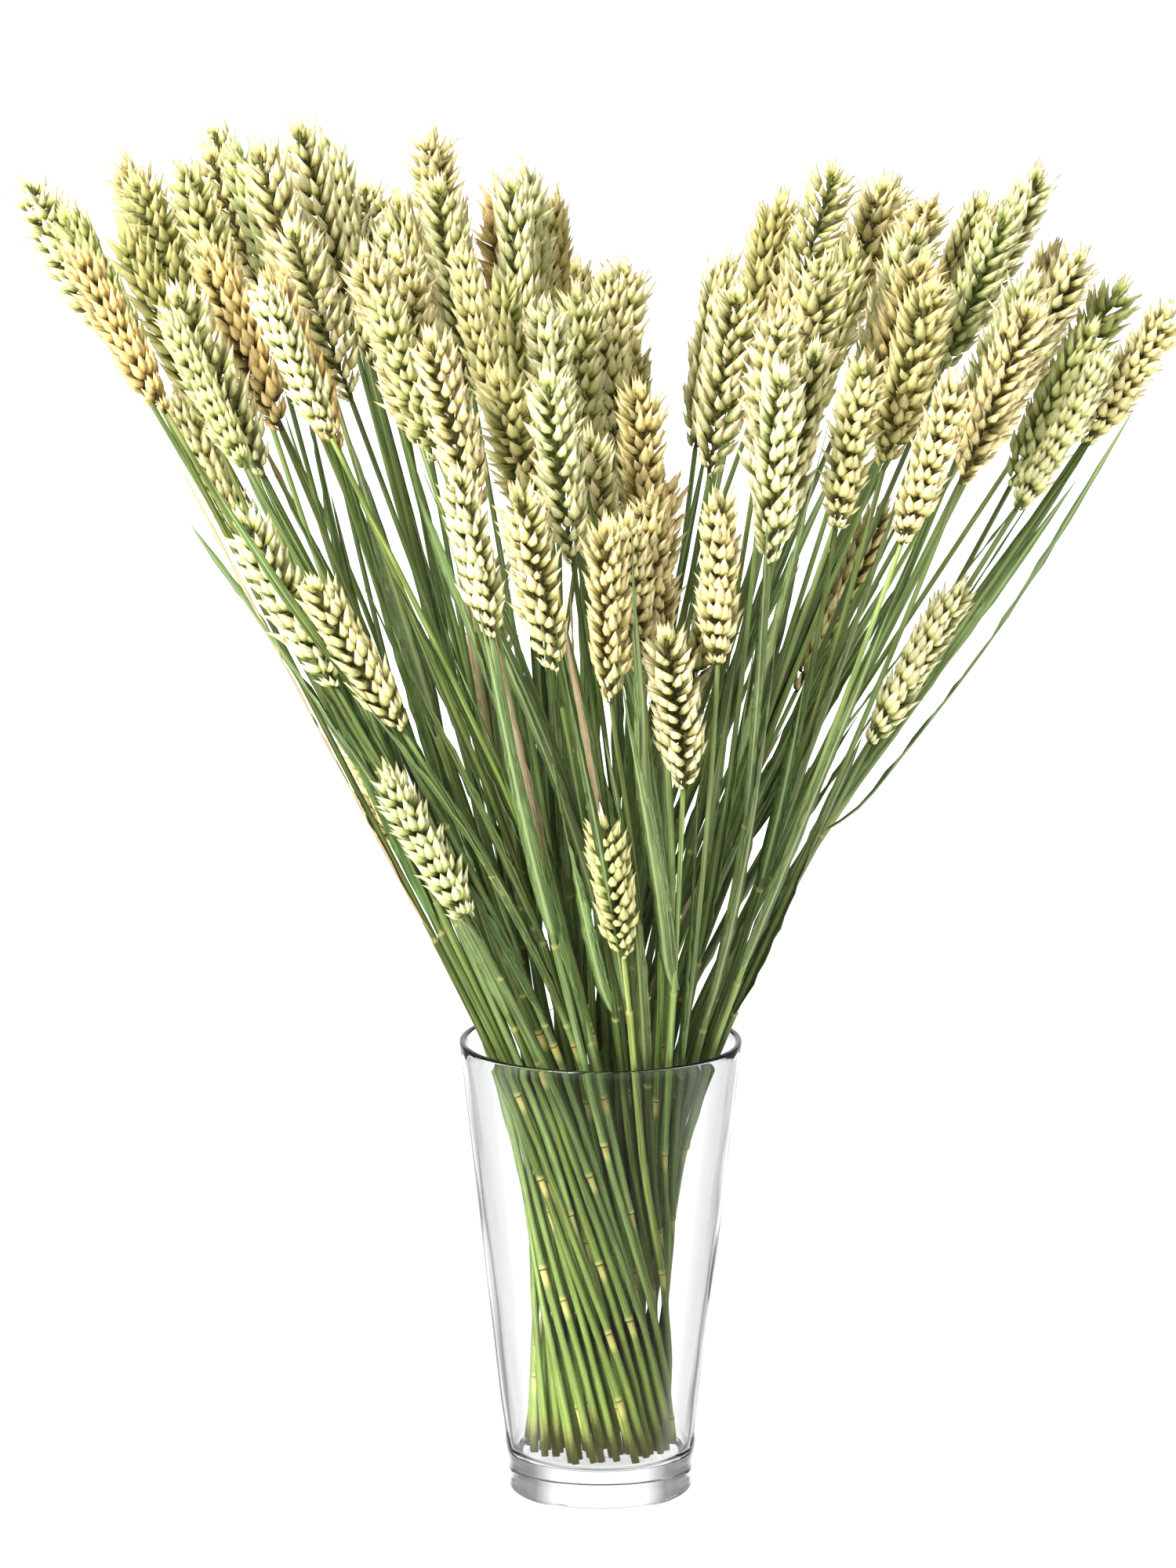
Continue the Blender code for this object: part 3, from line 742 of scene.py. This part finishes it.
EAR_SEED = 21
# Where a spikelet's husks start, in mm outwards, sideways and up, how far each leans outwards
# and sideways, in degrees, and its size
SPIKELET_HUSKS = [
    (1.0, 2.2, -1.0, 12, 23, 0.84), (1.0, -2.2, -1.0, 12, -23, 0.84),
    (2.2, 1.7, 0.9, 15, 13, 1.0), (2.4, -1.7, 1.8, 16, -14, 0.98),
    (3.4, 0.6, 2.4, 20, 6, 0.96), (3.0, -0.6, 4.0, 22, -5, 0.86),
]


def straight_husk():
    """One husk on +Z: a ring extruded along its profile to a point, keeled and flat inside."""
    bm = bmesh.new()
    radius = HUSK_RADIUS * HUSK_PROFILE[0][1]
    bmesh.ops.create_circle(bm, cap_ends=True, radius=radius, segments=HUSK_SIDES)
    edges = bm.edges[:]
    for (low, before), (high, after) in zip(HUSK_PROFILE, HUSK_PROFILE[1:] + [(1, 0)]):
        grown = bmesh.ops.extrude_edge_only(bm, edges=edges)["geom"]
        verts = [part for part in grown if isinstance(part, bmesh.types.BMVert)]
        edges = [part for part in grown if isinstance(part, bmesh.types.BMEdge)]
        bmesh.ops.scale(bm, vec=(after / before, after / before, 1), verts=verts)
        bmesh.ops.translate(bm, vec=(0, 0, (high - low) * HUSK_LENGTH), verts=verts)
    bmesh.ops.remove_doubles(bm, verts=bm.verts, dist=0.01 * MM)
    for vert in bm.verts:
        share = vert.co.z / HUSK_LENGTH
        if vert.co.x < 0:
            vert.co.x *= HUSK_INSIDE_FLATNESS
        elif abs(vert.co.y) < 0.2 * vert.co.x:
            vert.co.x *= HUSK_KEEL
        vert.co.x += HUSK_BOW * 4 * share * (1 - share) + HUSK_FLARE * max(0, share - 0.7) / 0.3
    bmesh.ops.recalc_face_normals(bm, faces=bm.faces)
    keep_straight_places(bm)
    return to_mesh(bm)


def place_husk(bm, husk, matrix, awn, tint):
    """Adds one husk, with its point drawn out into an awnlet."""
    made = husk.copy()
    heights = [vert.co.z for vert in made.vertices]
    made.vertices[heights.index(max(heights))].co.z += awn
    made.transform(matrix)
    set_tint(made, *tint)
    bm.from_mesh(made)
    bpy.data.meshes.remove(made)


def straight_ear(random, husk, openness):
    """An ear on +Z: its zigzag axis, its spikelets in two rows, and the one at its tip."""
    bm = bmesh.new()
    bm.verts.layers.float_vector.new("straight")
    bm.verts.layers.float_color.new("tint")
    pitch = (EAR_MADE_LENGTH - EAR_END) / EAR_SPIKELETS
    bmesh.ops.create_circle(bm, cap_ends=True, radius=AXIS_RADIUS, segments=AXIS_SIDES)
    edges = bm.edges[:]
    side = 1
    for step in range(EAR_SPIKELETS + 1):
        grown = bmesh.ops.extrude_edge_only(bm, edges=edges)["geom"]
        verts = [part for part in grown if isinstance(part, bmesh.types.BMVert)]
        edges = [part for part in grown if isinstance(part, bmesh.types.BMEdge)]
        zigzag = side * AXIS_ZIGZAG * (1 if step else 0.5)
        bmesh.ops.translate(bm, vec=(zigzag, 0, pitch), verts=verts)
        side = -side
    bmesh.ops.holes_fill(bm, edges=edges, sides=0)
    layer = bm.verts.layers.float_color["tint"]
    for vert in bm.verts:
        vert[layer] = (0, 0, 0.4, 1)
    for step in range(EAR_SPIKELETS + 1):
        share = step / EAR_SPIKELETS
        last = step == EAR_SPIKELETS
        side = 1 if step % 2 else -1
        # Smaller spikelets at the foot of the ear and towards its tip
        size = min(1, 0.5 + 3.2 * share, 0.72 + 1.6 * (1 - share))
        size *= random.uniform(*SPIKELET_SIZE_SPREAD)
        facing = Matrix.Rotation(math.pi / 2 if last else (0 if side > 0 else math.pi), 4, "Z")
        turned = math.radians(random.uniform(-SPIKELET_TURN, SPIKELET_TURN))
        facing @= Matrix.Rotation(turned, 4, "Z")
        lift = Matrix.Translation((0, 0, pitch * (step + 0.4)))
        for out, sideways, up, lean_out, lean_side, scale in SPIKELET_HUSKS:
            lean_out = math.radians(lean_out * openness * random.uniform(*HUSK_LEAN_SPREAD))
            lean_side = math.radians(
                lean_side * openness * random.uniform(*HUSK_SIDEWAYS_SPREAD)
            )
            if last:
                out, sideways = TIP_SPIKELET_OUT * out, TIP_SPIKELET_SIDEWAYS * sideways
                lean_out *= TIP_SPIKELET_OUT
                lean_side *= TIP_SPIKELET_SIDEWAYS
            keel = math.atan2(sideways * HUSK_KEEL_TURN, out)
            matrix = (
                facing @ lift
                @ Matrix.Translation(Vector((out, sideways, up)) * MM * size)
                @ Matrix.Rotation(lean_out, 4, "Y")
                @ Matrix.Rotation(-lean_side, 4, "X")
                @ Matrix.Rotation(keel, 4, "Z")
                @ Matrix.Scale(scale * size * random.uniform(*HUSK_SIZE_SPREAD), 4)
            )
            awn = random.uniform(*AWN_LENGTH)
            awn += max(0, share - TIP_BEGINS) * random.uniform(0, TIP_AWN_LENGTH)
            place_husk(bm, husk, matrix, awn * MM, (0, random.random(), 0, 1))
    return to_mesh(bm)


# Wheat husks, dry papery bracts with five to seven veins each about 0.5 mm apart: pale cream
# yellow, greener between the veins, greener and darker at the foot, matt with a faint silky sheen.
# The darkness at each husk's foot is painted shade, where the foot sits in the crevice between
# the husks round it; the green tint there is the husk's own colour
chaff, tree, shader = new_material("wheat husks, papery and veined")
place = add_node(tree, "Attribute", attribute_name="straight")
tint = add_node(tree, "Attribute", attribute_name="tint")
tints = add_node(tree, "SeparateColor", {"Color": tint.outputs["Color"]})
straight = add_node(tree, "SeparateXYZ", {0: place.outputs["Vector"]})
along = add_node(tree, "Mapping", {"Vector": place.outputs["Vector"], "Scale": (1000, 1000, 50)})
veins = add_node(tree, "TexNoise", {"Vector": along.outputs[0], "Scale": 1, "Detail": 1})
# Both ramps run from the husk's foot to its point. Their dark olive and dark brown first stops are
# painted shade of the crevices between husks, laid over the foot's own greener colour
rise = add_range(tree, straight.outputs[2], 0, HUSK_LENGTH, 0, 1)
pale = add_ramp(
    tree, rise,
    [(0.0, "5a6126"), (0.2, "b6b764"), (0.45, "e4e1a6"), (0.78, "f3efcb"), (1.0, "e0c68a")],
)
tan = add_ramp(
    tree, rise, [(0.0, "6c5324"), (0.22, "b3924f"), (0.5, "dcc07c"), (1.0, "e5c58b")],
)
aged = add_mix(tree, tints.outputs[0], pale, tan)
vein_shade = add_range(tree, veins.outputs[0], 0.34, 0.58, 0.66, 1.06)
veined = add_mix(tree, 1.0, aged, vein_shade, "MULTIPLY")
husk_shade = add_range(tree, tints.outputs[1], 0, 1, 0.76, 1.14)
varied = add_mix(tree, 1.0, veined, husk_shade, "MULTIPLY")
# The husks' margins keep some green, the youngest husks' most
sideways = add_node(tree, "Math", {0: straight.outputs[1]}, operation="ABSOLUTE")
margin = add_range(
    tree, sideways.outputs[0], HUSK_MARGIN[0] * HUSK_RADIUS, HUSK_MARGIN[1] * HUSK_RADIUS, 0, 0.8,
)
youth = add_range(tree, tints.outputs[1], 0.8, 0, 0.45, 1)
edged = add_mix(tree, add_product(tree, margin, youth), varied, from_hex("5c6a2c"))
# Some whole ears are still green
unripe = add_mix(tree, tints.outputs[2], edged, from_hex("94a655"))
tree.links.new(unripe, shader.inputs["Base Color"])
bump = add_node(tree, "Bump", {"Height": veins.outputs[0], "Strength": 0.8, "Distance": 0.25 * MM})
tree.links.new(bump.outputs[0], shader.inputs["Normal"])
shader.inputs["Roughness"].default_value = 0.55
shader.inputs["Sheen Weight"].default_value = 0.1

random = np.random.RandomState(EAR_SEED)
husk = straight_husk()
kinds = [straight_ear(random, husk, openness) for openness in EAR_OPENNESS]
for number, (members, nodes) in enumerate(groups):
    bm = bmesh.new()
    for stalk in members:
        ear = kinds[random.randint(len(kinds))].copy()
        length = stalk["way"]["at"][-1] - stalk["ear_at"]
        wide = random.uniform(*EAR_FULLNESS)
        ear.transform(Matrix.Diagonal((wide, wide, length / EAR_MADE_LENGTH, 1)))
        colours = np.empty(len(ear.vertices) * 4, dtype=np.float32)
        ear.attributes["tint"].data.foreach_get("color", colours)
        ripeness = stalk["ripeness"] * EAR_RIPENESS_SHARE
        ripeness += EAR_RIPENESS_SPREAD * (random.random() - 0.5)
        colours[0::4] = np.clip(ripeness, 0, 1)
        colours[2::4] = EAR_GREENNESS * random.random() ** EAR_GREENNESS_POWER
        ear.attributes["tint"].data.foreach_set("color", colours)
        carry(ear, stalk["way"], stalk["ear_at"], random.uniform(0, 2 * math.pi))
        bm.from_mesh(ear)
        bpy.data.meshes.remove(ear)
    new_piece(f"ears_{number + 1:02d}", bm, chaff, nodes)
for kind in kinds:
    bpy.data.meshes.remove(kind)
bpy.data.meshes.remove(husk)


# Studio. A white table lit from below, in a light tent that is bright all round but darker
# low in front, and grey at the sides behind so that the glass shows its edges; a soft key
# light from the front left.
FLOOR_HALF_SIZE = 40.0
FLOOR_GLOW = 0.5
SKY_STRENGTH = 1.2
SKY_AT_FLAGS = 0.28
SKY_BELOW = 0.35
SKY_LOW_IN_FRONT = 0.2
SKY_HIGH_IN_FRONT = 0.45
KEY_POWER = 330
KEY_SIZE = 1.8
KEY_PLACE = (-2.2, -3.0, 3.2)
LIT_PLACE = Vector((0, 0, 0.45))
PICTURE_GAMMA = 0.88

bm = bmesh.new()
bmesh.ops.create_grid(bm, x_segments=1, y_segments=1, size=FLOOR_HALF_SIZE)
floor_mesh = bpy.data.meshes.new("floor")
bm.to_mesh(floor_mesh)
bm.free()
acrylic, tree, shader = new_material("white acrylic table, matt and lit from below")
shader.inputs["Base Color"].default_value = from_hex("fbfbfa")
shader.inputs["Roughness"].default_value = 0.9
shader.inputs["Emission Color"].default_value = (1, 1, 1, 1)
shader.inputs["Emission Strength"].default_value = FLOOR_GLOW
floor_mesh.materials.append(acrylic)
floor = bpy.data.objects.new("floor", floor_mesh)
bpy.context.scene.collection.objects.link(floor)

# The glass shows and mirrors the tent instead of the table, which would veil what it holds
floor.visible_glossy = False
floor.visible_transmission = False

world = bpy.data.worlds.new("light tent")
world.use_nodes = True
tree = world.node_tree
direction = add_node(tree, "TexCoord")
axes = add_node(tree, "SeparateXYZ", {0: direction.outputs["Generated"]})
# Dark where the front of the vase mirrors it, between the table and the camera
ahead = add_range(tree, axes.outputs[1], 0, -0.3, 0, 1)
low = add_range(tree, axes.outputs[2], -0.33, -0.38, 0, 1)
unlit = add_range(tree, add_product(tree, ahead, low), 0, 1, 1, SKY_LOW_IN_FRONT)
# Dimmer above the camera, so that the key light models the ears
high = add_range(tree, axes.outputs[2], 0, 0.2, 0, 1)
dim = add_range(tree, add_product(tree, ahead, high), 0, 1, 1, SKY_HIGH_IN_FRONT)
# Grey flags to the left and right behind the vase draw its edges
sideways = add_node(tree, "Math", {0: axes.outputs[0]}, operation="ABSOLUTE")
aside = add_range(tree, sideways.outputs[0], 0.34, 0.56, 0, 1)
behind = add_range(tree, axes.outputs[1], 0.1, 0.3, 0, 1)
flags = add_range(tree, add_product(tree, aside, behind), 0, 1, 1, SKY_AT_FLAGS)
below = add_range(tree, axes.outputs[2], -0.98, -0.6, SKY_BELOW, 1)
tent = SKY_STRENGTH
for part in (unlit, dim, flags, below):
    tent = add_product(tree, tent, part)
tree.links.new(tent, tree.nodes["Background"].inputs["Strength"])
tree.nodes["Background"].inputs["Color"].default_value = (1, 1, 1, 1)
bpy.context.scene.world = world

key_light = bpy.data.lights.new("key light", "AREA")
key_light.energy = KEY_POWER
key_light.size = KEY_SIZE
key = bpy.data.objects.new("key light", key_light)
key.location = KEY_PLACE
key.rotation_euler = (LIT_PLACE - key.location).to_track_quat("-Z", "Y").to_euler()
bpy.context.scene.collection.objects.link(key)
bpy.context.scene.view_settings.view_transform = "Standard"
bpy.context.scene.view_settings.gamma = PICTURE_GAMMA


# Camera. A long lens 4 m away, a little above the ears, looking down by 12 degrees.
CAMERA_PLACE = (-6.5 * MM, -3.93, 1.19)
CAMERA_AIM = Vector((-6.5 * MM, 0, 0.374))
CAMERA_LENS = 180

camera_data = bpy.data.cameras.new("camera")
camera_data.lens = CAMERA_LENS
camera_data.sensor_fit = "AUTO"
camera_data.clip_end = 200
camera = bpy.data.objects.new("camera", camera_data)
camera.location = CAMERA_PLACE
camera.rotation_euler = (CAMERA_AIM - camera.location).to_track_quat("-Z", "Y").to_euler()
bpy.context.scene.collection.objects.link(camera)
bpy.context.scene.camera = camera
